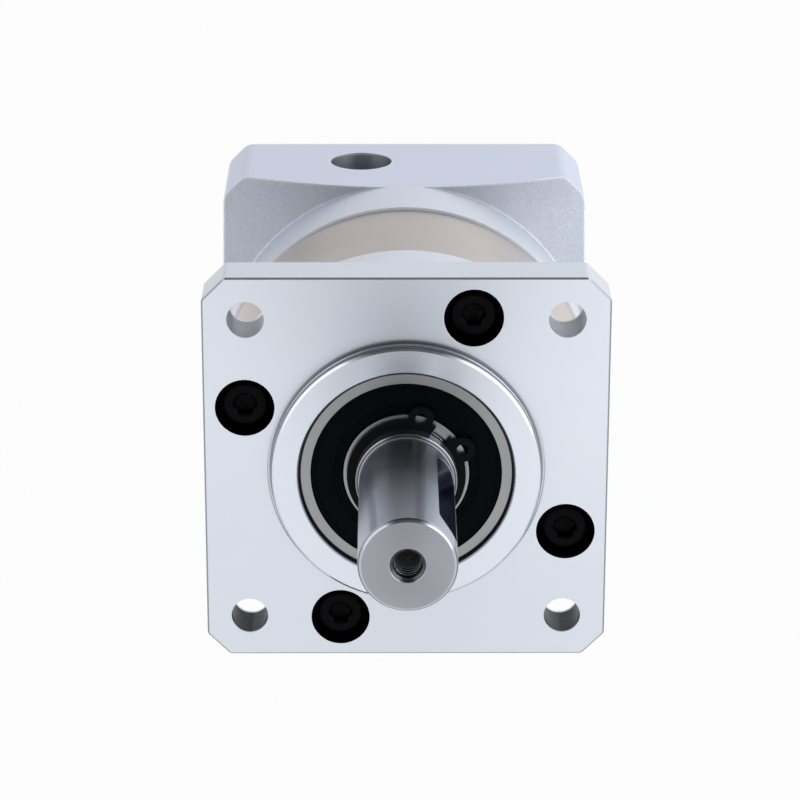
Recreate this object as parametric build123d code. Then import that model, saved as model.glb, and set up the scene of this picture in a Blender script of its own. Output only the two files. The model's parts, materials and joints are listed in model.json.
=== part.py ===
from build123d import *

import os
from math import acos, copysign, cos, hypot, pi, radians, sin, tan

# In-line planetary gearbox with one stage, 4 to 1, for a motor with a square flange.
# All sizes are millimetres. The origin lies on the gear axis, in the front face of the
# output flange. -Y points out along the output shaft, +Y towards the motor and +Z up.
# Clock angles are degrees clockwise from up, as seen from the output side.

# Gear set
gear_module = 0.9
pressure_angle = 20.0
sun_teeth = 15
planet_teeth = 15
planet_count = 3
tooth_root = 1.25
ring_addendum = 0.7
backlash = 0.06
planet_width = 9.0

# Output flange and housing
mount_hole_spacing = 47.14
mount_hole_d = 5.5
mount_edge = 6.43
flange_thickness = 7.5
flange_corner = 3.4
flange_blend = 1.0
flange_edge = 0.25
pilot_wall = 4.0
pilot_height = 2.5
pilot_edge = 0.4
relief_width = 0.6
relief_depth = 0.3
bore_edge = 0.25
barrel_step = 0.1
lip_thickness = 1.0
lip_height = 2.0

# Spigots of housing and adapter, which centre inside the tooth tips of the ring gear
spigot_wall = 2.05
spigot_length = 2.0
spigot_clearance = 0.04

# Screws that hold the three casings together, and the ring gear's metal round them
screw_wall = 4.425
ring_rim = 3.1
screw_clock = 22.5
screw_count = 4
screw_d = 4.0
screw_head_d = 7.0
screw_head_height = 4.0
screw_socket = 3.0
screw_clearance = 0.25
thread_clearance = 0.03
thread_engagement = 6.9
front_counterbore_d = 8.8
front_head_depth = 1.4
rear_counterbore_d = 7.5
rear_seat_depth = 13.1

# Planet carrier, pins and bushes
carrier_clearance = 0.8
carrier_disc = 2.8
carrier_rim_gap = 0.7
pocket_gap = 0.55
side_play = 0.3
pin_d = 6.0
bush_wall = 1.0
running_clearance = 0.04

# Output shaft
shaft_d = 14.0
shaft_reach = 36.0
shaft_edge = 0.5
journal_overhang = 3.5
journal_edge = 0.25
key_width = 5.0
key_depth = 3.0
key_clock = 60.0
key_tip_distance = 3.8
key_step_distance = 2.2
seam_turn = 52.5
end_hole_d = 4.2
end_hole_mouth_d = 5.2
end_hole_depth = 12.5

# Bearings: two carry the output shaft and one carries the input shaft
front_bearing_bore = 15.0
front_race_wall = 1.81
front_ball_d = 4.76
front_ball_count = 9
front_bearing_width = 9.0
bearing_recess = 1.0
rear_bearing_bore = 17.0
rear_race_wall = 1.92
rear_ball_d = 5.04
rear_ball_count = 10
rear_bearing_width = 10.0
input_bearing_bore = 20.0
input_race_wall = 1.26
input_ball_d = 3.36
input_ball_count = 12
input_bearing_width = 7.0
race_gap = 0.06
race_edge = 0.35
seal_thickness = 0.7
seal_recess = 0.25
seal_gap = 0.1

# Retaining ring in its groove on the output shaft
clip_thickness = 1.0
clip_play = 0.05
clip_band = 1.65
clip_depth = 0.35
clip_lug_r = 1.9
clip_hole_d = 1.7
clip_clock = 38.5
clip_lug_spread = 50.2
clip_opening = 2.7

# Motor adapter
adapter_step = 0.75
adapter_corner = 3.3
adapter_blend = 2.5
adapter_length = 36.7
collar_step = 0.5
collar_length = 11.4
cone_slope = 33.0
shoulder_thickness = 1.5
shoulder_height = 1.5
motor_pilot_d = 38.2
motor_pilot_depth = 3.0
motor_hole_d = 5.0
motor_hole_depth = 12.0
access_hole_d = 10.0

# Input shaft: sun gear, neck, bearing journal and slit clamp hub
neck_d = 11.0
journal_lead = 0.5
hub_gap = 3.0
hub_setback = 4.7
hub_bore_d = 8.0
hub_floor = 1.6
clamp_setback = 5.6
clamp_wall = 1.5
slit_width = 1.0
slit_reach = 6.5
clamp_screw_d = 3.0
clamp_head_d = 5.5
clamp_head_height = 3.0
clamp_socket = 2.5
clamp_seat = 4.0
clamp_grip = 7.0


def race_circle(bore, race_wall, ball_d):
    """Radius of the circle on which a bearing's balls run."""
    return bore / 2 + race_wall + race_gap + ball_d / 2


# Outer diameters of the bearings
front_bearing_d = 4 * race_circle(front_bearing_bore, front_race_wall, front_ball_d) - front_bearing_bore
rear_bearing_d = 4 * race_circle(rear_bearing_bore, rear_race_wall, rear_ball_d) - rear_bearing_bore
input_bearing_d = 4 * race_circle(input_bearing_bore, input_race_wall, input_ball_d) - input_bearing_bore

# Radii of the gear set, and what is built outwards from it
ring_teeth = sun_teeth + 2 * planet_teeth
sun_pitch_r = gear_module * sun_teeth / 2
planet_pitch_r = gear_module * planet_teeth / 2
ring_pitch_r = gear_module * ring_teeth / 2
planet_orbit_r = sun_pitch_r + planet_pitch_r
sun_tip_r = sun_pitch_r + gear_module
planet_tip_r = planet_pitch_r + gear_module
ring_tip_r = ring_pitch_r - ring_addendum * gear_module
ring_root_r = ring_pitch_r + tooth_root * gear_module
carrier_r = ring_tip_r - carrier_rim_gap
bush_r = pin_d / 2 + bush_wall
screw_place_r = ring_root_r + screw_wall
screw_hole_r = screw_d / 2 + screw_clearance
ring_r = screw_place_r + ring_rim
barrel_r = ring_r + barrel_step
collar_r = ring_r + collar_step
flange_width = mount_hole_spacing + 2 * mount_edge
adapter_width = flange_width - 2 * adapter_step
spigot_r = rear_bearing_d / 2 + spigot_wall
hub_r = input_bearing_d / 2 - hub_gap
clamp_offset = hub_bore_d / 2 + clamp_wall + clamp_screw_d / 2

# Places along the axis, from the output side to the motor side
front_bearing_y = bearing_recess - pilot_height
step_y = front_bearing_y - journal_overhang
lip_y = front_bearing_y + front_bearing_width
rear_bearing_y = lip_y + lip_thickness
spigot_end_y = rear_bearing_y + rear_bearing_width
ring_y = spigot_end_y - spigot_length
carrier_y = spigot_end_y + carrier_clearance
window_y = carrier_y + carrier_disc
window_end_y = window_y + planet_width + 2 * side_play
carrier_end_y = window_end_y + carrier_disc
rear_spigot_y = carrier_end_y + carrier_clearance
ring_end_y = rear_spigot_y + spigot_length
input_bearing_y = ring_end_y + shoulder_thickness
input_bearing_end_y = input_bearing_y + input_bearing_width
collar_end_y = ring_end_y + collar_length
adapter_end_y = ring_end_y + adapter_length
hub_end_y = adapter_end_y - hub_setback
clamp_y = hub_end_y - clamp_setback
front_seat_y = front_head_depth + screw_head_height
rear_seat_y = ring_end_y + rear_seat_depth


def bar(sketch, y_from, y_to):
    """A sketch drawn as seen from the front, x to the right and z up, made solid from y_from to y_to."""
    face = Plane((0, y_to, 0), x_dir=(1, 0, 0), z_dir=(0, -1, 0))
    return extrude(face * sketch, y_to - y_from)


def rod(radius, y_from, y_to, place=(0, 0)):
    return bar(Pos(*place) * Circle(radius), y_from, y_to)


def tube(inner_r, outer_r, y_from, y_to, place=(0, 0)):
    return bar(Pos(*place) * (Circle(outer_r) - Circle(inner_r)), y_from, y_to)


def turned(*points):
    """A solid turned about the gear axis from (radius, y) points."""
    return revolve(make_face(Polyline(*points, close=True)), Axis.Y)


def clock_point(radius, angle):
    """A point on a face seen from the front, at a clock angle in radians."""
    return (radius * sin(angle), radius * cos(angle))


def screw_places():
    return [
        clock_point(screw_place_r, radians(screw_clock) + 2 * pi * i / screw_count)
        for i in range(screw_count)
    ]


def corner_places():
    reach = mount_hole_spacing / 2
    return [(x, z) for x in (-reach, reach) for z in (-reach, reach)]


def cut_square(width, corner, blend):
    """A square with its four corners cut off, and each cut blended into the sides."""
    outline = chamfer(Rectangle(width, width).vertices(), corner)
    return fillet(outline.vertices(), blend)


def hexagon(across_flats):
    return RegularPolygon(across_flats / 2, 6, major_radius=False)


def involute(angle):
    return tan(angle) - angle


def gear_outline(teeth, root_r, tip_r, widening, first=0.0):
    """A toothed disc with a tooth at clock angle first. Each flank is an arc through three involute points."""
    pitch_r = gear_module * teeth / 2
    base_r = pitch_r * cos(radians(pressure_angle))
    flank_r = max(root_r, base_r)

    def half_tooth(radius):
        opening = involute(radians(pressure_angle)) - involute(acos(min(base_r / radius, 1)))
        return pi / (2 * teeth) + widening / (2 * pitch_r) + opening

    radii = (flank_r, (flank_r + tip_r) / 2, tip_r)
    foot_angle = half_tooth(flank_r)
    edges = []
    for tooth in range(teeth):
        middle = first + 2 * pi * tooth / teeth
        rising = [clock_point(radius, middle - half_tooth(radius)) for radius in radii]
        falling = [clock_point(radius, middle + half_tooth(radius)) for radius in reversed(radii)]
        before = clock_point(root_r, middle - foot_angle)
        after = clock_point(root_r, middle + foot_angle)
        next_before = clock_point(root_r, middle + 2 * pi / teeth - foot_angle)
        if root_r < flank_r:
            edges.append(Line(before, rising[0]))
            edges.append(Line(falling[-1], after))
        edges.append(ThreePointArc(*rising))
        edges.append(Line(rising[-1], falling[0]))
        edges.append(ThreePointArc(*falling))
        edges.append(Line(after, next_before))
    return make_face(edges)


def around_planets(shape):
    """Copies of what is made for the top planet, one for each planet."""
    return [Rot(0, 360 * i / planet_count, 0) * shape for i in range(planet_count)]


def output_housing():
    """Square flange, pilot boss with a relief round its foot, barrel and spigot, bored for both bearings."""
    bearing_r = front_bearing_d / 2
    seat_r = rear_bearing_d / 2
    lip_r = min(bearing_r, seat_r) - lip_height
    pilot_r = bearing_r + pilot_wall
    plate = bar(cut_square(flange_width, flange_corner, flange_blend), 0, flange_thickness)
    body = chamfer(plate.faces().sort_by(Axis.Y)[0].edges(), flange_edge)
    body -= rod(pilot_r + relief_width, 0, flange_thickness)
    body += turned(
        (bearing_r, lip_y),
        (bearing_r, bore_edge - pilot_height),
        (bearing_r + bore_edge, -pilot_height),
        (pilot_r - pilot_edge, -pilot_height),
        (pilot_r, pilot_edge - pilot_height),
        (pilot_r, relief_depth),
        (pilot_r + relief_width, relief_depth),
        (pilot_r + relief_width, 0),
        (barrel_r, 0),
        (barrel_r, ring_y),
        (spigot_r, ring_y),
        (spigot_r, spigot_end_y),
        (seat_r, spigot_end_y),
        (seat_r, rear_bearing_y),
        (lip_r, rear_bearing_y),
        (lip_r, lip_y),
    )
    for place in corner_places():
        body -= rod(mount_hole_d / 2, 0, flange_thickness, place)
    for place in screw_places():
        body -= rod(front_counterbore_d / 2, 0, front_seat_y, place)
        body -= rod(screw_hole_r, front_seat_y, ring_y, place)
    return body


def ring_gear():
    body = rod(ring_r, ring_y, ring_end_y)
    body -= bar(gear_outline(ring_teeth, ring_tip_r, ring_root_r, backlash), ring_y, ring_end_y)
    body -= rod(spigot_r + spigot_clearance, ring_y, spigot_end_y)
    body -= rod(spigot_r + spigot_clearance, rear_spigot_y, ring_end_y)
    for place in screw_places():
        body -= rod(screw_d / 2, ring_y, ring_end_y, place)
    return body


def cap_screws(seat_y, joint_y, facing):
    """Socket cap screws with heads facing -Y (-1) or +Y (1), reaching past the joint into the ring gear."""
    tip_y = joint_y - facing * thread_engagement
    head_y = seat_y + facing * screw_head_height
    socket_y = seat_y + facing * screw_head_height / 2
    group = []
    for place in screw_places():
        screw = rod(screw_head_d / 2, min(seat_y, head_y), max(seat_y, head_y), place)
        screw += rod(screw_d / 2 - thread_clearance, min(seat_y, tip_y), max(seat_y, tip_y), place)
        screw -= bar(Pos(*place) * hexagon(screw_socket), min(socket_y, head_y), max(socket_y, head_y))
        group.append(screw)
    return group


def motor_adapter():
    """Round collar growing by a cone into the square block, bored for the input shaft and the motor."""
    corner_r = hypot(adapter_width, adapter_width) / 2
    cone_end_y = collar_end_y + (corner_r - collar_r) * tan(radians(cone_slope))
    bearing_r = input_bearing_d / 2
    cone = turned(
        (0, collar_end_y),
        (collar_r, collar_end_y),
        (corner_r, cone_end_y),
        (corner_r, adapter_end_y),
        (0, adapter_end_y),
    )
    body = cone & bar(cut_square(adapter_width, adapter_corner, adapter_blend), collar_end_y, adapter_end_y)
    body += rod(collar_r, ring_end_y, collar_end_y)
    body += rod(spigot_r, rear_spigot_y, ring_end_y)
    body -= rod(bearing_r - shoulder_height, rear_spigot_y, input_bearing_y)
    body -= rod(bearing_r, input_bearing_y, adapter_end_y)
    body -= rod(motor_pilot_d / 2, adapter_end_y - motor_pilot_depth, adapter_end_y)
    for place in corner_places():
        body -= rod(motor_hole_d / 2, adapter_end_y - motor_hole_depth, adapter_end_y, place)
    for place in screw_places():
        body -= rod(rear_counterbore_d / 2, rear_seat_y, adapter_end_y, place)
        body -= rod(screw_hole_r, ring_end_y, rear_seat_y, place)
    return body - Pos(-clamp_offset, clamp_y, 0) * extrude(Circle(access_hole_d / 2), adapter_width)


def output_shaft():
    """The stepped output shaft, which ends in the planet carrier's seat. Its seam is turned off the keyway."""
    shaft_r = shaft_d / 2
    front_r = front_bearing_bore / 2
    rear_r = rear_bearing_bore / 2
    body = Rot(0, key_clock + seam_turn, 0) * turned(
        (0, -shaft_reach),
        (shaft_r - shaft_edge, -shaft_reach),
        (shaft_r, shaft_edge - shaft_reach),
        (shaft_r, step_y),
        (front_r - journal_edge, step_y),
        (front_r, step_y + journal_edge),
        (front_r, front_bearing_y - clip_thickness),
        (front_r - clip_depth, front_bearing_y - clip_thickness),
        (front_r - clip_depth, front_bearing_y),
        (front_r, front_bearing_y),
        (front_r, lip_y),
        (rear_r, lip_y),
        (rear_r, window_y),
        (0, window_y),
    )
    return body - keyway() - end_hole()


def planet_carrier():
    """Two discs joined by three webs, pressed on the output shaft, with an open window for each planet."""
    seat_r = rear_bearing_bore / 2
    body = turned(
        (seat_r, spigot_end_y),
        (seat_r + lip_height, spigot_end_y),
        (seat_r + lip_height, carrier_y),
        (carrier_r, carrier_y),
        (carrier_r, carrier_end_y),
        (0, carrier_end_y),
        (0, window_y),
        (seat_r, window_y),
    )
    body -= rod(sun_tip_r + pocket_gap, window_y, carrier_end_y)
    over_planet = (0, planet_orbit_r)
    for window in around_planets(rod(planet_tip_r + pocket_gap, window_y, window_end_y, over_planet)):
        body -= window
    for pin_hole in around_planets(rod(pin_d / 2, carrier_y, carrier_end_y, over_planet)):
        body -= pin_hole
    return body


def keyway():
    """The round-ended slot for a key, along the shaft at its own clock angle."""
    front_y = key_tip_distance - shaft_reach
    length = step_y - key_step_distance - front_y
    slot = extrude(SlotOverall(length, key_width, rotation=90), shaft_d)
    return Rot(0, key_clock, 0) * Pos(0, front_y + length / 2, shaft_d / 2 - key_depth) * slot


def end_hole():
    """The tapped hole in the shaft's end, with a countersunk mouth."""
    hole_r = end_hole_d / 2
    mouth_r = end_hole_mouth_d / 2
    return turned(
        (0, -shaft_reach),
        (mouth_r, -shaft_reach),
        (hole_r, mouth_r - hole_r - shaft_reach),
        (hole_r, end_hole_depth - shaft_reach),
        (0, end_hole_depth - shaft_reach),
    )


def planet_gears():
    """The planets, each turned about its own pin until it meshes with ring and sun."""
    root_r = planet_pitch_r - tooth_root * gear_module
    gears = []
    for i in range(planet_count):
        ring_pitches = ring_teeth * i / planet_count
        turn = 2 * pi / planet_teeth * (round(ring_pitches) - ring_pitches)
        outline = gear_outline(planet_teeth, root_r, planet_tip_r, -backlash, turn) - Circle(bush_r)
        gear = bar(Pos(0, planet_orbit_r) * outline, window_y + side_play, window_end_y - side_play)
        gears.append(Rot(0, 360 * i / planet_count, 0) * gear)
    return gears


def planet_bush():
    bore_r = pin_d / 2 + running_clearance
    return tube(bore_r, bush_r, window_y + side_play, window_end_y - side_play, (0, planet_orbit_r))


def planet_pin():
    return rod(pin_d / 2, carrier_y, carrier_end_y, (0, planet_orbit_r))


def input_shaft_sun():
    """Sun gear, neck, bearing journal and clamp hub, one piece."""
    root_r = sun_pitch_r - tooth_root * gear_module
    journal_r = input_bearing_bore / 2
    journal_y = input_bearing_y - journal_lead
    # An odd planet shows the sun a space, an even one a tooth.
    first = (1 - planet_teeth % 2) * pi / sun_teeth
    body = bar(gear_outline(sun_teeth, root_r, sun_tip_r, -backlash, first), window_y + side_play, window_end_y)
    body += turned(
        (0, window_end_y),
        (neck_d / 2, window_end_y),
        (neck_d / 2, journal_y),
        (journal_r, journal_y),
        (journal_r, input_bearing_end_y),
        (hub_r, input_bearing_end_y),
        (hub_r, hub_end_y),
        (0, hub_end_y),
    )
    body -= rod(hub_bore_d / 2, input_bearing_end_y + hub_floor, hub_end_y)
    body -= bar(Pos(-hub_r, 0) * Rectangle(2 * hub_r, slit_width), clamp_y - slit_reach, hub_end_y)
    at_screw = Pos(-clamp_offset, clamp_y, 0)
    body -= at_screw * Pos(0, 0, -clamp_grip) * extrude(Circle(clamp_screw_d / 2), clamp_grip + clamp_seat)
    head_hole = extrude(Circle(clamp_head_d / 2 + screw_clearance), hub_r)
    return body - at_screw * Pos(0, 0, clamp_seat) * head_hole


def clamp_screw():
    """The screw that closes the clamp hub, upright across its slit."""
    shank_length = clamp_seat + clamp_grip - screw_clearance
    body = extrude(Circle(clamp_head_d / 2), clamp_head_height)
    body += extrude(Circle(clamp_screw_d / 2 - thread_clearance), -shank_length)
    body -= Pos(0, 0, clamp_head_height / 2) * extrude(hexagon(clamp_socket), clamp_head_height)
    return Pos(-clamp_offset, clamp_y, clamp_seat) * body


def retaining_ring():
    """The open ring with two pierced lugs in the output shaft's groove."""
    inner_r = front_bearing_bore / 2 - clip_depth
    outer_r = inner_r + clip_band
    lug_place_r = outer_r + clip_hole_d / 4
    lug_places = [clock_point(lug_place_r, radians(side * clip_lug_spread / 2)) for side in (-1, 1)]
    plate = Circle(outer_r)
    for place in lug_places:
        plate += Pos(*place) * Circle(clip_lug_r)
    plate -= Circle(inner_r)
    plate -= Pos(0, outer_r) * Rectangle(clip_opening, 4 * clip_band)
    for place in lug_places:
        plate -= Pos(*place) * Circle(clip_hole_d / 2)
    return Rot(0, clip_clock, 0) * bar(plate, front_bearing_y - clip_thickness + clip_play, front_bearing_y)


def bearing(bore, race_wall, ball_d, ball_count, width, y):
    """Outer ring, inner ring and balls of one bearing whose front face lies at y."""
    circle_r = race_circle(bore, race_wall, ball_d)
    reach = ball_d / 2 + race_gap
    outer_ring = bearing_ring(circle_r + reach, circle_r + reach + race_wall, width, y)
    inner_ring = bearing_ring(circle_r - reach, bore / 2, width, y)
    ball = Pos(0, y + width / 2, circle_r) * flatted_ball(ball_d)
    balls = [Rot(0, 360 * i / ball_count, 0) * ball for i in range(ball_count)]
    return outer_ring, inner_ring, balls


def bearing_ring(race_r, seat_r, width, y):
    """A ring of a bearing, with its two edges broken on the side that fits its seat."""
    edge_r = seat_r - copysign(race_edge, seat_r - race_r)
    return turned(
        (race_r, y),
        (edge_r, y),
        (seat_r, y + race_edge),
        (seat_r, y + width - race_edge),
        (edge_r, y + width),
        (race_r, y + width),
    )


def flatted_ball(diameter):
    """A ball with eighteen flats, plain because the rings and seals hide it."""
    block = Box(diameter, diameter, diameter)
    return block & Rot(45, 0, 0) * block & Rot(0, 45, 0) * block & Rot(0, 0, 45) * block


def bearing_seal(bore, race_wall, ball_d, y):
    """A seal between the rings of a bearing, from y to y plus its thickness."""
    circle_r = race_circle(bore, race_wall, ball_d)
    reach = ball_d / 2 + race_gap
    return tube(circle_r - reach + seal_gap, circle_r + reach, y, y + seal_thickness)


def save(name, solids):
    shape = Compound(children=list(solids)) if isinstance(solids, list) else solids
    shape.label = name
    export_step(shape, f"parts/{name}.step")


def save_bearing(name, sizes, ball_count, width, y):
    outer_ring, inner_ring, balls = bearing(*sizes, ball_count, width, y)
    save(f"{name}_bearing_outer_ring", outer_ring)
    save(f"{name}_bearing_inner_ring", inner_ring)
    save(f"{name}_bearing_balls", balls)


os.makedirs("parts", exist_ok=True)

save("output_housing", output_housing())
save("ring_gear", ring_gear())
save("motor_adapter", motor_adapter())
save("front_screws", cap_screws(front_seat_y, ring_y, -1))
save("rear_screws", cap_screws(rear_seat_y, ring_end_y, 1))

save("output_shaft", output_shaft())
save("planet_carrier", planet_carrier())
save("output_retaining_ring", retaining_ring())
for number, gear in enumerate(planet_gears(), start=1):
    save(f"planet_gear_{number}", gear)
for number, bush in enumerate(around_planets(planet_bush()), start=1):
    save(f"planet_bush_{number}", bush)
for number, pin in enumerate(around_planets(planet_pin()), start=1):
    save(f"planet_pin_{number}", pin)

save("input_shaft_sun", input_shaft_sun())
save("clamp_screw", clamp_screw())

front_sizes = (front_bearing_bore, front_race_wall, front_ball_d)
rear_sizes = (rear_bearing_bore, rear_race_wall, rear_ball_d)
input_sizes = (input_bearing_bore, input_race_wall, input_ball_d)
input_seal_y = input_bearing_end_y - seal_recess - seal_thickness
save_bearing("front", front_sizes, front_ball_count, front_bearing_width, front_bearing_y)
save_bearing("rear", rear_sizes, rear_ball_count, rear_bearing_width, rear_bearing_y)
save_bearing("input", input_sizes, input_ball_count, input_bearing_width, input_bearing_y)
save("front_bearing_seal", bearing_seal(*front_sizes, front_bearing_y + seal_recess))
save("input_bearing_seal", bearing_seal(*input_sizes, input_seal_y))
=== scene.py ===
import json
from math import cos, floor, pi, radians, sin

import bmesh
import bpy
from mathutils import Matrix, Vector


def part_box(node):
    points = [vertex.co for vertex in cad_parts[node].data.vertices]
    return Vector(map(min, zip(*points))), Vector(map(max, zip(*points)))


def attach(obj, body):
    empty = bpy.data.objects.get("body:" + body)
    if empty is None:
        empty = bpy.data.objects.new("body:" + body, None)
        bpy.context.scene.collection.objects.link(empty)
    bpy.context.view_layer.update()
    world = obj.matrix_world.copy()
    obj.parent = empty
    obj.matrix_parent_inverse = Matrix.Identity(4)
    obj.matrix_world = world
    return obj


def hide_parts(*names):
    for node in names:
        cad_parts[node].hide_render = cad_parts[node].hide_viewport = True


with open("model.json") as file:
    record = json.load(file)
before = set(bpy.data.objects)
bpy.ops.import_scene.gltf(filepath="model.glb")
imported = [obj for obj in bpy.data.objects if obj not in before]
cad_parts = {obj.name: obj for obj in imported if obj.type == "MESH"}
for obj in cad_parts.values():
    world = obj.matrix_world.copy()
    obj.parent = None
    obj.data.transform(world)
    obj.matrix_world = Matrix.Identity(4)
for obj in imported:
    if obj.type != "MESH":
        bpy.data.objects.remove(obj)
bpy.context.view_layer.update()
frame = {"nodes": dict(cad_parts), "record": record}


# Sizes in millimetres. The gear axis is Y, and the output shaft's end looks along -Y.

MM = 0.001  # in metres
FLANGE_HALF = 30.0
FLANGE_BACK_Y = 7.5
BOSS_R = 20.0
BOSS_FRONT_Y = -2.5
BOSS_BAND = (-1.05, -0.4)
BEARING_BORE_R = 16.0
CORNER_HOLE = 23.57
CORNER_HOLE_R = 2.75
COUNTERBORE_R = 4.4
SCREW_CIRCLE_R = 25.8
SCREW_CLOCK = radians(22.5)
SCREW_CLOCKS = [SCREW_CLOCK + pi * i / 2 for i in range(4)]
SCREW_PLACES = [(SCREW_CIRCLE_R * sin(clock), SCREW_CIRCLE_R * cos(clock)) for clock in SCREW_CLOCKS]
RING_GEAR_END_Y = 37.3
COLLAR_END_Y = 48.7
ADAPTER_TOP_Z = 29.25
ACCESS_HOLE = (-7.0, 63.7)
ACCESS_HOLE_R = 5.0
MOTOR_HOLE_R = 2.5
SHAFT_R = 7.0
SHAFT_END_Y = -36.0
SHAFT_STEP_Y = -5.0
KEY_CLOCK = radians(60.0)
KEY_FLOOR = 4.0
KEY_HALF = 2.5
END_HOLE_R = 2.1
END_HOLE_MOUTH_R = 2.6
THREAD_PITCH = 0.8
END_THREAD_CREST_R = 1.92
MOTOR_THREAD_CREST_R = 2.12
FLOOR_Z = -30.05


# Camera at the photographer's place

def add_camera():
    yaw, pitch, roll = 0.005, 0.355, 0.001
    place = Vector((-3.159, -445.873, 176.381)) * MM
    forward = Vector((sin(yaw) * cos(pitch), cos(yaw) * cos(pitch), -sin(pitch)))
    level = Vector((cos(yaw), -sin(yaw), 0.0))
    upright = level.cross(forward)
    right = cos(roll) * level + sin(roll) * upright
    up = cos(roll) * upright - sin(roll) * level
    data = bpy.data.cameras.new("camera")
    data.sensor_width = 36.0
    data.lens = 145.17
    data.clip_start = 0.01
    data.clip_end = 20.0
    camera = bpy.data.objects.new("camera", data)
    bpy.context.collection.objects.link(camera)
    turn = Matrix((right, up, -forward)).transposed().to_4x4()
    camera.matrix_world = Matrix.Translation(place) @ turn
    bpy.context.scene.camera = camera


# Node helpers

MIX_FIRST, MIX_SECOND, MIX_RESULT = 6, 7, 2  # the mix node's sockets for colours


class Nodes:
    """Short calls that add linked nodes to a tree."""

    def __init__(self, tree):
        self.tree = tree

    def feed(self, socket, value):
        if isinstance(value, bpy.types.NodeSocket):
            self.tree.links.new(value, socket)
        else:
            socket.default_value = value

    def node(self, kind, inputs=None, **settings):
        node = self.tree.nodes.new(kind)
        for key, value in settings.items():
            setattr(node, key, value)
        for key, value in (inputs or {}).items():
            self.feed(node.inputs[key], value)
        return node

    def math(self, operation, first, second=0.0, third=0.0):
        inputs = {0: first, 1: second, 2: third}
        return self.node("ShaderNodeMath", inputs, operation=operation).outputs[0]

    def times(self, first, *others):
        for other in others:
            first = self.math("MULTIPLY", first, other)
        return first

    def most(self, first, *others):
        for other in others:
            first = self.math("MAXIMUM", first, other)
        return first

    def length(self, across, along):
        """Length of the flat arrow (across, along)."""
        return self.math("SQRT", self.math("ADD", self.times(across, across), self.times(along, along)))

    def ramp(self, value, low, high, to_low=0.0, to_high=1.0):
        """value mapped smoothly from low..high to to_low..to_high."""
        inputs = {"Value": value, "From Min": low, "From Max": high, "To Min": to_low, "To Max": to_high}
        return self.node("ShaderNodeMapRange", inputs, interpolation_type="SMOOTHSTEP").outputs["Result"]

    def band(self, value, low, high, soft):
        """1 where value lies between low and high, 0 beyond soft outside them."""
        return self.times(self.ramp(value, low - soft, low), self.ramp(value, high + soft, high))


class Shader(Nodes):
    """A principled material whose patterns are laid out in millimetres."""

    def __init__(self, name, metallic, specular=0.5):
        self.material = bpy.data.materials.new(name)
        self.material.use_nodes = True
        super().__init__(self.material.node_tree)
        self.main = self.tree.nodes["Principled BSDF"]
        self.main.inputs["Metallic"].default_value = metallic
        self.main.inputs["Specular IOR Level"].default_value = specular
        metres = self.node("ShaderNodeTexCoord").outputs["Object"]
        self.place = self.scaled(metres, (1 / MM, 1 / MM, 1 / MM))
        self.x, self.y, self.z = self.node("ShaderNodeSeparateXYZ", {"Vector": self.place}).outputs
        self.radius = self.away(0.0, 0.0)

    def scaled(self, vector, factors):
        return self.node("ShaderNodeVectorMath", {0: vector, 1: factors}, operation="MULTIPLY").outputs[0]

    def away(self, x, z):
        """Distance from a line along the gear axis through (x, z)."""
        return self.length(self.math("SUBTRACT", self.x, x), self.math("SUBTRACT", self.z, z))

    def noise(self, scale, detail=2.0, roughness=0.5, stretch=(1.0, 1.0, 1.0)):
        inputs = {
            "Vector": self.scaled(self.place, stretch),
            "Scale": scale,
            "Detail": detail,
            "Roughness": roughness,
        }
        return self.node("ShaderNodeTexNoise", inputs).outputs["Fac"]

    def rings(self, scale, detail=3.0):
        """Lines left by turning: rings on end faces, hoops on round walls."""
        across = self.math("MULTIPLY_ADD", self.y, 1.37, self.radius)
        inputs = {"W": across, "Scale": scale, "Detail": detail, "Roughness": 0.65}
        return self.node("ShaderNodeTexNoise", inputs, noise_dimensions="1D").outputs["Fac"]

    def mix(self, factor, first, second, blend="MIX"):
        """Colour that goes from first to second as factor goes from 0 to 1."""
        first, second = ((*c, 1.0) if isinstance(c, tuple) else c for c in (first, second))
        inputs = {"Factor": factor, MIX_FIRST: first, MIX_SECOND: second}
        return self.node("ShaderNodeMix", inputs, data_type="RGBA", blend_type=blend).outputs[MIX_RESULT]

    def facing(self):
        """1 on faces across the gear axis, 0 on faces along it."""
        normal = self.node("ShaderNodeNewGeometry").outputs["Normal"]
        return self.math("ABSOLUTE", self.node("ShaderNodeSeparateXYZ", {"Vector": normal}).outputs["Y"])

    def edges(self, width):
        """1 along sharp edges, 0 elsewhere."""
        soft = self.node("ShaderNodeBevel", {"Radius": width * MM}, samples=8).outputs["Normal"]
        normal = self.node("ShaderNodeNewGeometry").outputs["Normal"]
        inputs = {0: soft, 1: normal}
        match = self.node("ShaderNodeVectorMath", inputs, operation="DOT_PRODUCT").outputs["Value"]
        return self.ramp(match, 0.99, 0.94)

    def surface(self, height=None, depth=0.0, edge=0.12):
        """Softens edges and lays height over them as fine relief of the given depth."""
        normal = self.node("ShaderNodeBevel", {"Radius": edge * MM}, samples=6).outputs["Normal"]
        if height is not None:
            inputs = {"Height": height, "Distance": depth * MM, "Normal": normal}
            normal = self.node("ShaderNodeBump", inputs).outputs["Normal"]
        self.feed(self.main.inputs["Normal"], normal)

    def roughen(self, value):
        self.feed(self.main.inputs["Roughness"], value)

    def colour(self, value):
        self.feed(self.main.inputs["Base Color"], value)

    def turned(self, anisotropy):
        """Highlights stretched across turning lines about the gear axis."""
        self.main.inputs["Anisotropic"].default_value = anisotropy
        self.main.inputs["Anisotropic Rotation"].default_value = 0.25
        tangent = self.node("ShaderNodeTangent", direction_type="RADIAL", axis="Y").outputs["Tangent"]
        self.feed(self.main.inputs["Tangent"], tangent)


# Materials

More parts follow.
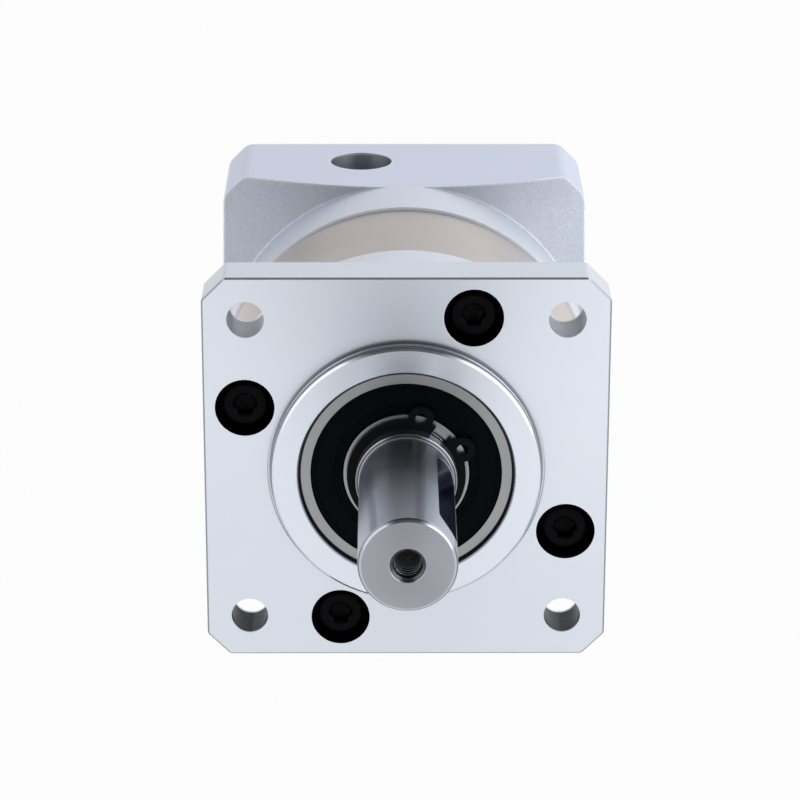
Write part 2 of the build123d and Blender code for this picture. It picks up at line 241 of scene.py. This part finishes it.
def flange_aluminium():
    s = Shader("flange_aluminium", metallic=1.0)
    s.turned(0.8)
    facing = s.facing()
    cloud = s.noise(0.06)
    streaks = s.noise(1.6, detail=3.0, roughness=0.6, stretch=(0.3, 7.0, 0.3))
    to_corner = s.length(
        s.math("SUBTRACT", s.math("ABSOLUTE", s.x), CORNER_HOLE),
        s.math("SUBTRACT", s.math("ABSOLUTE", s.z), CORNER_HOLE),
    )
    finish_flange(s, facing, cloud, to_corner)
    metal = s.mix(s.ramp(cloud, 0.2, 0.8), (0.80, 0.85, 0.935), (0.83, 0.875, 0.95))
    metal = tone_boss(s, metal, facing, streaks)
    metal = tone_broken_edges(s, metal, facing)
    metal = tone_flange_holes(s, metal, to_corner, streaks)
    s.colour(metal)
    return s.material


def finish_flange(s, facing, cloud, to_corner):
    """Higher gloss on the boss's front and the flange's edges, turning rings and a low step on the boss."""
    on_boss = s.times(s.ramp(s.radius, BOSS_R + 0.5, BOSS_R + 0.1), s.ramp(s.y, -0.2, -0.6))
    on_edge = s.times(
        s.ramp(facing, 0.4, 0.2),
        s.ramp(s.radius, BOSS_R + 1.0, BOSS_R + 2.0),
        s.ramp(to_corner, CORNER_HOLE_R + 0.1, CORNER_HOLE_R + 0.2),
    )
    smoother = s.times(s.math("MAXIMUM", s.times(on_boss, s.ramp(facing, 0.3, 0.6)), on_edge), 0.1)
    s.roughen(s.math("SUBTRACT", s.ramp(cloud, 0.2, 0.8, 0.285, 0.325), smoother))
    turning = s.times(s.rings(2.6), on_boss)
    s.surface(s.math("MULTIPLY_ADD", turning, 0.02, s.ramp(s.y, *BOSS_BAND)), depth=0.16, edge=0.1)


def tone_boss(s, metal, facing, streaks):
    """Painted dark reflection, streaked, on the boss's side, with a painted highlight band before the
    painted shade at its foot, and painted shade in the bore.
    """
    side = s.times(
        s.ramp(facing, 0.6, 0.3),
        s.band(s.radius, BOSS_R - 0.5, BOSS_R + 0.2, 0.1),
        s.ramp(s.y, 0.3, 0.1),
    )
    foot = s.times(s.band(s.radius, BOSS_R - 0.2, BOSS_R + 0.3, 0.1), s.band(s.y, -0.12, 0.4, 0.05))
    in_bore = s.times(
        s.ramp(s.radius, BEARING_BORE_R + 0.6, BEARING_BORE_R + 0.2),
        s.ramp(s.y, BOSS_FRONT_Y + 0.05, BOSS_FRONT_Y + 0.3),
    )
    # Painted dark reflection on the boss's side, streaked, and a painted highlight band before its foot.
    streaked_dark_reflection = s.mix(s.ramp(streaks, 0.35, 0.65), (0.24, 0.245, 0.265), (0.38, 0.39, 0.42))
    metal = s.mix(side, metal, s.mix(s.band(s.y, *BOSS_BAND, 0.05), streaked_dark_reflection, (0.92, 0.93, 0.96)))
    # Painted shade at the boss's foot.
    metal = s.mix(foot, metal, (0.36, 0.375, 0.41))
    # Painted shade in the bearing bore.
    return s.mix(in_bore, metal, (0.11, 0.12, 0.135))


def tone_broken_edges(s, metal, facing):
    """Painted shade, grey, on the broken edges of the flange and the boss's front, but a painted highlight,
    white, along the flange's straight top. At 45 degrees facing is 0.71.
    """
    rim = s.times(s.band(facing, 0.68, 0.74, 0.08), s.ramp(s.radius, BOSS_R + 2.0, BOSS_R + 3.0))
    boss_edge = s.times(
        s.band(s.radius, BOSS_R - 0.1, BOSS_R, 0.03),
        s.band(facing, 0.6, 0.82, 0.06),
        s.ramp(s.y, -0.6, -1.0),
    )
    along_top = s.times(
        s.ramp(s.z, FLANGE_HALF - 1.5, FLANGE_HALF - 1.0),
        s.ramp(s.math("ABSOLUTE", s.x), FLANGE_HALF - 3.0, FLANGE_HALF - 4.0),
    )
    # Painted shade on the broken edges, and a painted highlight along the flange's straight top.
    broken = s.mix(along_top, (0.34, 0.355, 0.39), (0.95, 0.96, 0.98))
    return s.mix(s.math("MAXIMUM", rim, boss_edge), metal, broken)


def tone_flange_holes(s, metal, to_corner, streaks):
    """Painted shade in the corner holes, streaked, lighter in the upper two and darker in the lower two,
    and painted black shade in the counterbores.
    """
    in_flange = s.band(s.y, 0.3, FLANGE_BACK_Y - 0.6, 0.3)
    in_corner_hole = s.times(s.ramp(to_corner, CORNER_HOLE_R + 0.2, CORNER_HOLE_R + 0.1), in_flange)
    near_screws = [s.ramp(s.away(x, z), COUNTERBORE_R + 0.2, COUNTERBORE_R + 0.1) for x, z in SCREW_PLACES]
    # Painted shade on the corner holes' walls, lighter towards the top, broken up by streaks.
    hole_wall_shade = s.mix(s.ramp(s.z, -5.0, 5.0), (0.085, 0.088, 0.096), (0.50, 0.52, 0.56))
    hole_wall_streaks = s.mix(s.ramp(streaks, 0.3, 0.7), (0.5, 0.5, 0.5), (1.0, 1.0, 1.0))
    metal = s.mix(in_corner_hole, metal, s.mix(1.0, hole_wall_shade, hole_wall_streaks, "MULTIPLY"))
    # Painted black shade in the four counterbores.
    return s.mix(s.times(s.most(*near_screws), in_flange), metal, (0.003, 0.003, 0.004))


def adapter_aluminium():
    s = Shader("adapter_aluminium", metallic=1.0)
    facing = s.facing()
    blasted = s.times(s.ramp(facing, 0.3, 0.6), s.ramp(facing, 0.98, 0.9))
    collar = s.ramp(s.y, COLLAR_END_Y + 0.2, COLLAR_END_Y - 0.2)
    grain = s.noise(4.5, detail=3.0, roughness=0.6)
    soft = s.noise(0.09)
    edge = s.edges(0.7)
    matt = s.math("MAXIMUM", blasted, collar)
    s.roughen(s.math("MULTIPLY_ADD", matt, 0.12, s.ramp(soft, 0.2, 0.8, 0.38, 0.43)))
    s.surface(s.times(grain, s.math("MULTIPLY_ADD", blasted, 0.96, 0.04)), depth=0.035, edge=0.08)
    plain = s.mix(s.ramp(soft, 0.2, 0.8), (0.78, 0.835, 0.97), (0.80, 0.85, 0.98))
    # Painted light: the collar is painted lighter than the rest of the adapter.
    plain = s.mix(collar, plain, (0.88, 0.93, 1.0))
    rough = s.mix(s.ramp(grain, 0.35, 0.65), (0.43, 0.455, 0.51), (0.52, 0.55, 0.615))
    metal = s.mix(blasted, plain, rough)
    # Painted highlight: speckled white glints along the sharp edges.
    glint_speckle = s.ramp(s.noise(7.0), 0.35, 0.6, 0.35, 1.0)
    metal = s.mix(s.times(edge, glint_speckle), metal, (0.97, 0.98, 1.0))
    # Painted shade on the access hole's wall.
    hole_x, hole_y = ACCESS_HOLE
    to_hole = s.length(s.math("SUBTRACT", s.x, hole_x), s.math("SUBTRACT", s.y, hole_y))
    in_hole = s.times(
        s.ramp(to_hole, ACCESS_HOLE_R + 0.2, ACCESS_HOLE_R + 0.1),
        s.ramp(s.z, ADAPTER_TOP_Z - 0.25, ADAPTER_TOP_Z - 0.55),
    )
    s.colour(s.mix(in_hole, metal, (0.50, 0.53, 0.57)))
    return s.material


def ring_steel():
    s = Shader("ring_steel", metallic=1.0)
    s.turned(0.7)
    lines = s.rings(3.8, detail=4.0)
    cloud = s.noise(0.07, detail=1.0)
    s.surface(lines, depth=0.003, edge=0.12)
    s.roughen(s.ramp(cloud, 0.2, 0.8, 0.30, 0.35))
    metal = s.mix(s.ramp(lines, 0.3, 0.7), (0.63, 0.58, 0.545), (0.69, 0.635, 0.595))
    metal = s.mix(s.ramp(cloud, 0.3, 0.7, 0.0, 0.5), metal, (0.76, 0.71, 0.68))
    # Painted shadow line at the ring gear's joint with the adapter's collar.
    joint_shadow = s.ramp(s.y, RING_GEAR_END_Y - 0.2, RING_GEAR_END_Y - 0.1)
    s.colour(s.mix(joint_shadow, metal, (0.3, 0.29, 0.29)))
    return s.material


def shaft_steel():
    s = Shader("shaft_steel", metallic=1.0)
    s.turned(0.85)
    lines = s.rings(5.2, detail=4.0)
    on_side = s.ramp(s.facing(), 0.5, 0.2, 0.15, 1.0)
    in_mouth = s.times(
        s.ramp(s.radius, END_HOLE_MOUTH_R + 0.15, END_HOLE_MOUTH_R),
        s.ramp(s.y, SHAFT_END_Y + 0.02, SHAFT_END_Y + 0.1),
    )
    s.roughen(s.math("MULTIPLY_ADD", in_mouth, 0.12, s.ramp(s.noise(0.12), 0.2, 0.8, 0.21, 0.25)))
    s.surface(s.times(lines, on_side), depth=0.005, edge=0.1)
    metal = s.mix(s.times(on_side, s.ramp(lines, 0.25, 0.75)), (0.56, 0.575, 0.63), (0.62, 0.635, 0.695))
    metal = tone_shaft_cuts(s, metal)
    s.colour(tone_end_hole(s, metal, in_mouth))
    return s.material


def tone_shaft_cuts(s, metal):
    """Painted shade in the keyway and on the broken edge of the shaft's end."""
    key_x, key_z = sin(KEY_CLOCK), cos(KEY_CLOCK)
    along_key = s.math("ADD", s.times(s.x, key_x), s.times(s.z, key_z))
    across_key = s.math("ABSOLUTE", s.math("SUBTRACT", s.times(s.x, key_z), s.times(s.z, key_x)))
    in_keyway = s.times(
        s.ramp(along_key, KEY_FLOOR - 0.2, KEY_FLOOR - 0.05),
        s.ramp(across_key, KEY_HALF + 0.1, KEY_HALF + 0.02),
        s.ramp(s.radius, SHAFT_R - 0.07, SHAFT_R - 0.15),
        s.ramp(s.y, SHAFT_END_Y + 1.5, SHAFT_END_Y + 2.0),
    )
    end_edge = s.times(
        s.band(s.radius, SHAFT_R - 0.2, SHAFT_R - 0.05, 0.05),
        s.ramp(s.y, SHAFT_END_Y + 0.6, SHAFT_END_Y + 0.5),
    )
    # Painted shade in the keyway, and on the broken edge at the shaft's end.
    metal = s.mix(in_keyway, metal, (0.22, 0.24, 0.30))
    return s.mix(end_edge, metal, (0.26, 0.265, 0.29))


def tone_end_hole(s, metal, in_mouth):
    """Painted shade at the step and in the hole's mouth, and inside the hole a painted highlight on its
    thread's crests with painted black shade between them.
    """
    in_step = s.times(
        s.band(s.radius, SHAFT_R + 0.12, SHAFT_R + 0.38, 0.06),
        s.ramp(s.y, SHAFT_STEP_Y - 0.3, SHAFT_STEP_Y - 0.2),
    )
    in_hole = s.times(
        s.ramp(s.radius, END_HOLE_R + 0.1, END_HOLE_R),
        s.ramp(s.y, SHAFT_END_Y + 0.4, SHAFT_END_Y + 0.8),
    )
    in_root = s.times(in_hole, s.ramp(s.radius, END_HOLE_R - 0.16, END_HOLE_R - 0.1))
    # Painted shade at the step and in the hole's mouth.
    metal = s.mix(s.math("MAXIMUM", in_step, in_mouth), metal, (0.14, 0.145, 0.16))
    # Painted highlight on the thread's crests inside the hole, and painted black shade in its roots.
    metal = s.mix(in_hole, metal, (0.8, 0.81, 0.83))
    return s.mix(in_root, metal, (0.03, 0.03, 0.035))


def gear_steel():
    s = Shader("gear_steel", metallic=1.0)
    lines = s.rings(3.0)
    s.surface(lines, depth=0.004, edge=0.06)
    s.roughen(s.ramp(s.noise(0.3, detail=3.0), 0.3, 0.7, 0.29, 0.38))
    s.colour(s.mix(s.ramp(lines, 0.3, 0.7), (0.32, 0.32, 0.33), (0.38, 0.38, 0.39)))
    return s.material


def bearing_steel():
    s = Shader("bearing_steel", metallic=1.0)
    s.turned(0.4)
    lines = s.rings(6.0)
    s.surface(lines, depth=0.003, edge=0.06)
    s.roughen(s.ramp(s.noise(0.2), 0.3, 0.7, 0.29, 0.38))
    s.colour(s.mix(s.ramp(lines, 0.3, 0.7), (0.36, 0.362, 0.37), (0.41, 0.412, 0.42)))
    return s.material


def bush_bronze():
    s = Shader("bush_bronze", metallic=1.0)
    lines = s.rings(4.0)
    s.surface(lines, depth=0.004, edge=0.05)
    s.roughen(s.ramp(s.noise(0.4, detail=3.0), 0.3, 0.7, 0.29, 0.38))
    s.colour(s.mix(s.ramp(lines, 0.3, 0.7), (0.56, 0.35, 0.15), (0.64, 0.41, 0.19)))
    return s.material


def black_screw():
    s = Shader("black_screw", metallic=0.0, specular=0.06)
    grain = s.noise(3.5, detail=3.0)
    s.surface(grain, depth=0.008, edge=0.08)
    s.roughen(s.ramp(s.noise(0.7, detail=3.0), 0.3, 0.7, 0.29, 0.38))
    s.colour(s.mix(s.ramp(grain, 0.4, 0.7), (0.0012, 0.0012, 0.002), (0.003, 0.003, 0.0045)))
    return s.material


def black_spring_steel():
    s = Shader("black_spring_steel", metallic=0.0, specular=0.08)
    grain = s.noise(4.2, detail=3.0)
    s.surface(grain, depth=0.008, edge=0.12)
    s.roughen(s.ramp(s.noise(0.9, detail=3.0), 0.3, 0.7, 0.36, 0.5))
    s.colour(s.mix(s.ramp(grain, 0.4, 0.7), (0.0025, 0.003, 0.004), (0.0045, 0.005, 0.0065)))
    return s.material


def seal_rubber():
    s = Shader("seal_rubber", metallic=0.0, specular=0.05)
    grain = s.noise(6.0)
    s.surface(grain, depth=0.004, edge=0.06)
    s.roughen(s.ramp(s.noise(0.5, detail=3.0), 0.3, 0.7, 0.36, 0.46))
    s.colour(s.mix(s.ramp(grain, 0.4, 0.7), (0.0006, 0.0012, 0.0024), (0.0012, 0.002, 0.0036)))
    return s.material


MATERIALS = {
    make.__name__: make()
    for make in (
        flange_aluminium, adapter_aluminium, ring_steel, shaft_steel, gear_steel,
        bearing_steel, bush_bronze, black_screw, black_spring_steel, seal_rubber,
    )
}


def dress_cad_nodes():
    """Gives each CAD node the material of its slot."""
    for entry in frame["record"]["subparts"]:
        node = frame["nodes"][entry["node"]]
        node.data.materials.clear()
        node.data.materials.append(MATERIALS[entry["material_slot"]])


# Detail pieces

def join_rows(mesh, rows, steps):
    """Adds the faces between rows of corners round a skin. A row of one corner is a point."""
    for near, far in zip(rows, rows[1:]):
        for i in range(steps):
            j = (i + 1) % steps
            corners = (near[i % len(near)], near[j % len(near)], far[j % len(far)], far[i % len(far)])
            mesh.faces.new(list(dict.fromkeys(corners)))


def skin(rings, steps, mesh=None, move=Matrix()):
    """Adds a skin through rings about the Y axis to a bmesh. A ring is a radius, or a function that
    gives one for a clock angle, and a place along the axis. A radius of 0 is a point."""
    mesh = mesh or bmesh.new()
    rows = []
    for radius, y in rings:
        if radius == 0:
            rows.append([mesh.verts.new(move @ Vector((0.0, y, 0.0)))])
            continue
        row = []
        for i in range(steps):
            angle = 2 * pi * i / steps
            reach = radius(angle) if callable(radius) else radius
            row.append(mesh.verts.new(move @ Vector((reach * sin(angle), y, reach * cos(angle)))))
        rows.append(row)
    join_rows(mesh, rows, steps)
    return mesh


def place_piece(name, mesh, slot, body, *replaced):
    """Makes an object of a bmesh in millimetres, in its slot's material, riding on a body."""
    bmesh.ops.scale(mesh, vec=(MM, MM, MM), verts=mesh.verts)
    bmesh.ops.recalc_face_normals(mesh, faces=mesh.faces)
    data = bpy.data.meshes.new(name)
    mesh.to_mesh(data)
    mesh.free()
    data.materials.append(MATERIALS[slot])
    data.shade_smooth()
    data.set_sharp_from_angle(angle=radians(35))
    piece = bpy.data.objects.new(name, data)
    bpy.context.collection.objects.link(piece)
    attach(piece, body)
    if replaced:
        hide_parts(*replaced)


def hexagon(across_flats):
    """Gives the radius of a hexagon's outline at a clock angle."""
    side = pi / 3

    def outline(angle):
        turn = angle + side / 2
        return across_flats / 2 / cos(turn - floor(turn / side) * side - side / 2)
    return outline


def knurl(radius, ridges, depth):
    """Gives the radius of a ridged outline at a clock angle."""
    return lambda angle: radius - depth * (0.5 - 0.5 * cos(ridges * angle))


def cap_screw(mesh, move, head_d, head_height, socket, length, shank_d):
    """A socket cap screw along +Y, with the top of its head at 0. The head is knurled, its edges are
    broken, and its hex socket is bored."""
    head_r, shank_r = head_d / 2, shank_d / 2
    hexed = hexagon(socket)
    gripped = knurl(head_r, ridges=36, depth=0.035 * head_r)
    socket_floor = head_height / 2
    rings = [
        (0, socket_floor + 0.2 * socket),
        (hexed, socket_floor),
        (hexed, 0.1 * socket),
        (0.62 * socket, 0.0),
        (0.80 * head_r, 0.0),
        (0.90 * head_r, 0.02 * head_r),
        (0.96 * head_r, 0.07 * head_r),
        (gripped, 0.16 * head_r),
        (gripped, head_height - 0.10 * head_r),
        (0.96 * head_r, head_height - 0.03 * head_r),
        (0.93 * head_r, head_height),
        (1.08 * shank_r, head_height),
        (shank_r, head_height + 0.08 * shank_r),
        (shank_r, length - 0.15 * shank_d),
        (0.8 * shank_r, length),
        (0, length),
    ]
    skin(rings, steps=144, mesh=mesh, move=move)


def casing_screws(node, head_first, body):
    """The four screws of one side, which reach as far along the axis as their CAD node."""
    low, high = (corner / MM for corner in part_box(node))
    mesh = bmesh.new()
    for x, z in SCREW_PLACES:
        if head_first:
            move = Matrix.Translation((x, low.y, z))
        else:
            move = Matrix.Translation((x, high.y, z)) @ Matrix.Rotation(pi, 4, "Z")
        cap_screw(mesh, move, head_d=7.0, head_height=4.0, socket=3.0, length=high.y - low.y, shank_d=3.94)
    place_piece(node + "_detail", mesh, "black_screw", body, node)


def clamp_hub_screw():
    """The screw that closes the clamp hub, head up."""
    low, high = (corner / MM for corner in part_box("clamp_screw"))
    middle = (low + high) / 2
    mesh = bmesh.new()
    move = Matrix.Translation((middle.x, middle.y, high.z)) @ Matrix.Rotation(-pi / 2, 4, "X")
    cap_screw(mesh, move, head_d=5.5, head_height=3.0, socket=2.5, length=high.z - low.z, shank_d=2.94)
    place_piece("clamp_screw_detail", mesh, "black_screw", "input", "clamp_screw")


def lipped_seal(node, front, width, body):
    """A moulded seal, width across from lip to bead: a bead at the outer ring, a plain band, a rib
    between two grooves, and a lip. front is -1 where its outer face looks along -Y, else 1."""
    low, high = (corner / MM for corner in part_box(node))
    outer = high.x
    inner = outer - width
    full_depth = 0.70
    face, back = (low.y, high.y) if front < 0 else (high.y, low.y)
    profile = [
        (inner, full_depth), (inner, 0.30), (inner + 0.10, 0.16), (inner + 0.45, 0.11),
        (inner + 0.55, 0.17), (inner + 0.68, 0.17), (inner + 0.78, 0.07), (inner + 1.10, 0.07),
        (inner + 1.18, 0.15), (inner + 1.30, 0.15), (inner + 1.40, 0.04), (outer - 0.85, 0.0),
        (outer - 0.74, 0.08), (outer - 0.62, 0.08), (outer - 0.52, 0.0), (outer - 0.18, 0.0),
        (outer, 0.14), (outer, full_depth),
    ]
    thickness = abs(back - face)
    rings = [(radius, face - front * depth * thickness / full_depth) for radius, depth in profile]
    mesh = skin(rings + rings[:1], steps=160)
    bmesh.ops.remove_doubles(mesh, verts=mesh.verts, dist=1e-4)
    place_piece(node + "_detail", mesh, "seal_rubber", body, node)


def thread(mesh, place, wall_r, crest_r, y_from, y_to):
    """The closed ridge of an inside thread, rooted in the wall and run out to a point at both ends.
    A corner of the ridge is a radius and a place along the axis in pitches."""
    steps = 40
    count = int((y_to - y_from) / THREAD_PITCH * steps)
    root_r = wall_r + 0.02
    ridge = ((root_r, -0.42), (crest_r, -0.07), (crest_r, 0.07), (root_r, 0.42))
    rows = []
    for i in range(count + 1):
        angle = 2 * pi * i / steps
        y = y_from + THREAD_PITCH * i / steps
        run_out = min(1.0, i / (steps / 2), (count - i) / (steps / 2))
        row = []
        for radius, shift in ridge if run_out > 0 else ((root_r, 0.0),):
            reach = root_r - (root_r - radius) * run_out
            x, z = place[0] + reach * sin(angle), place[1] + reach * cos(angle)
            row.append(mesh.verts.new((x, y + shift * THREAD_PITCH, z)))
        rows.append(row)
    join_rows(mesh, rows, len(ridge))


def threads():
    """Threads of the hole in the shaft's end and of the four motor holes."""
    shaft_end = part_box("output_shaft")[0].y / MM
    motor_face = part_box("motor_adapter")[1].y / MM
    end_thread = bmesh.new()
    thread(end_thread, (0.0, 0.0), END_HOLE_R, END_THREAD_CREST_R, shaft_end + 1.0, shaft_end + 11.6)
    place_piece("end_hole_thread", end_thread, "shaft_steel", "output")
    motor_threads = bmesh.new()
    first, last = motor_face - 11.0, motor_face - 0.6
    for x in (-CORNER_HOLE, CORNER_HOLE):
        for z in (-CORNER_HOLE, CORNER_HOLE):
            thread(motor_threads, (x, z), MOTOR_HOLE_R, MOTOR_THREAD_CREST_R, first, last)
    place_piece("motor_hole_threads", motor_threads, "adapter_aluminium", "housing")


# Floor, sky and lamps

def add_floor():
    """White to the camera. To gloss it carries painted shade: a little greyer at the object and to the
    left, and much greyer in a narrow patch in front of the shaft. Other rays meet it as matt light grey."""
    bpy.ops.mesh.primitive_plane_add(size=8.0, location=(0.0, 0.0, FLOOR_Z * MM))
    ground = bpy.context.object
    ground.name = "floor"
    material = bpy.data.materials.new("floor")
    material.use_nodes = True
    material.node_tree.nodes.clear()
    s = Nodes(material.node_tree)
    rays = s.node("ShaderNodeLightPath").outputs
    place = s.node("ShaderNodeSeparateXYZ", {0: s.node("ShaderNodeTexCoord").outputs["Object"]}).outputs
    # Painted shadow to gloss: greyer near the object, and much greyer in a narrow patch in front of the
    # shaft.
    near = s.ramp(place["Y"], -0.09, -0.01, 0.0, 0.08)
    middle = s.times(
        s.ramp(s.math("ABSOLUTE", place["X"]), 0.016, 0.008, 0.0, 0.66),
        s.band(place["Y"], -0.165, -0.1, 0.035),
    )
    sides = s.ramp(place["X"], -0.06, 0.06, 0.96, 1.0)
    level = s.math("SUBTRACT", sides, s.math("ADD", near, middle))
    glow = s.node("ShaderNodeEmission", {"Strength": s.most(level, rays["Is Camera Ray"])})
    matt = s.node("ShaderNodeBsdfDiffuse", {"Color": (0.85, 0.85, 0.85, 1.0)})
    seen = s.most(rays["Is Camera Ray"], rays["Is Glossy Ray"], rays["Is Transmission Ray"])
    blend = s.node("ShaderNodeMixShader", {0: s.times(seen, 0.96), 1: matt.outputs[0], 2: glow.outputs[0]})
    s.node("ShaderNodeOutputMaterial", {"Surface": blend.outputs[0]})
    ground.data.materials.append(material)


def add_sky():
    """White to the camera. Around the object it is a studio: light at both sides and behind, brighter
    right than left, and dark overhead and where the camera stood."""
    world = bpy.data.worlds.new("sky")
    bpy.context.scene.world = world
    world.use_nodes = True
    world.node_tree.nodes.clear()
    s = Nodes(world.node_tree)
    way = s.node("ShaderNodeTexCoord").outputs["Generated"]
    across, back, upward = s.node("ShaderNodeSeparateXYZ", {0: way}).outputs
    overhead = s.ramp(s.math("MULTIPLY_ADD", back, -0.4, upward), 0.45, 0.75)
    gap = s.times(overhead, s.ramp(s.math("ABSOLUTE", across), 0.62, 0.3))
    sides = s.ramp(across, -0.8, 0.8, 0.6, 1.0)
    level = s.times(sides, s.math("MULTIPLY_ADD", gap, -0.85, 1.0))
    studio = s.node("ShaderNodeBackground", {"Color": (0.97, 0.98, 1.0, 1.0), "Strength": level})
    white = s.node("ShaderNodeBackground", {"Color": (1.0, 1.0, 1.0, 1.0)})
    seen = s.node("ShaderNodeLightPath").outputs["Is Camera Ray"]
    blend = s.node("ShaderNodeMixShader", {0: seen, 1: studio.outputs[0], 2: white.outputs[0]})
    s.node("ShaderNodeOutputWorld", {"Surface": blend.outputs[0]})


def add_lamp(name, place, size, power, colour=(1.0, 1.0, 1.0)):
    """A soft rectangular lamp that looks at the middle of the gearbox."""
    data = bpy.data.lights.new(name, "AREA")
    data.shape = "RECTANGLE"
    data.size, data.size_y = size
    data.energy = power
    data.color = colour
    lamp = bpy.data.objects.new(name, data)
    bpy.context.collection.objects.link(lamp)
    lamp.location = place
    aim = Vector((0.0, 0.02, 0.0)) - Vector(place)
    lamp.rotation_euler = aim.to_track_quat("-Z", "Y").to_euler()


add_camera()
dress_cad_nodes()
casing_screws("front_screws", head_first=True, body="housing")
casing_screws("rear_screws", head_first=False, body="housing")
clamp_hub_screw()
lipped_seal("front_bearing_seal", front=-1, width=4.78, body="housing")
lipped_seal("input_bearing_seal", front=1, width=3.38, body="housing")
threads()
add_floor()
add_sky()
add_lamp("left_box", place=(-0.62, -0.25, 0.32), size=(0.5, 0.7), power=0.8)
add_lamp("right_box", place=(0.62, -0.25, 0.32), size=(0.5, 0.7), power=1.3, colour=(0.94, 0.96, 1.0))

bpy.context.scene.view_settings.view_transform = "Standard"
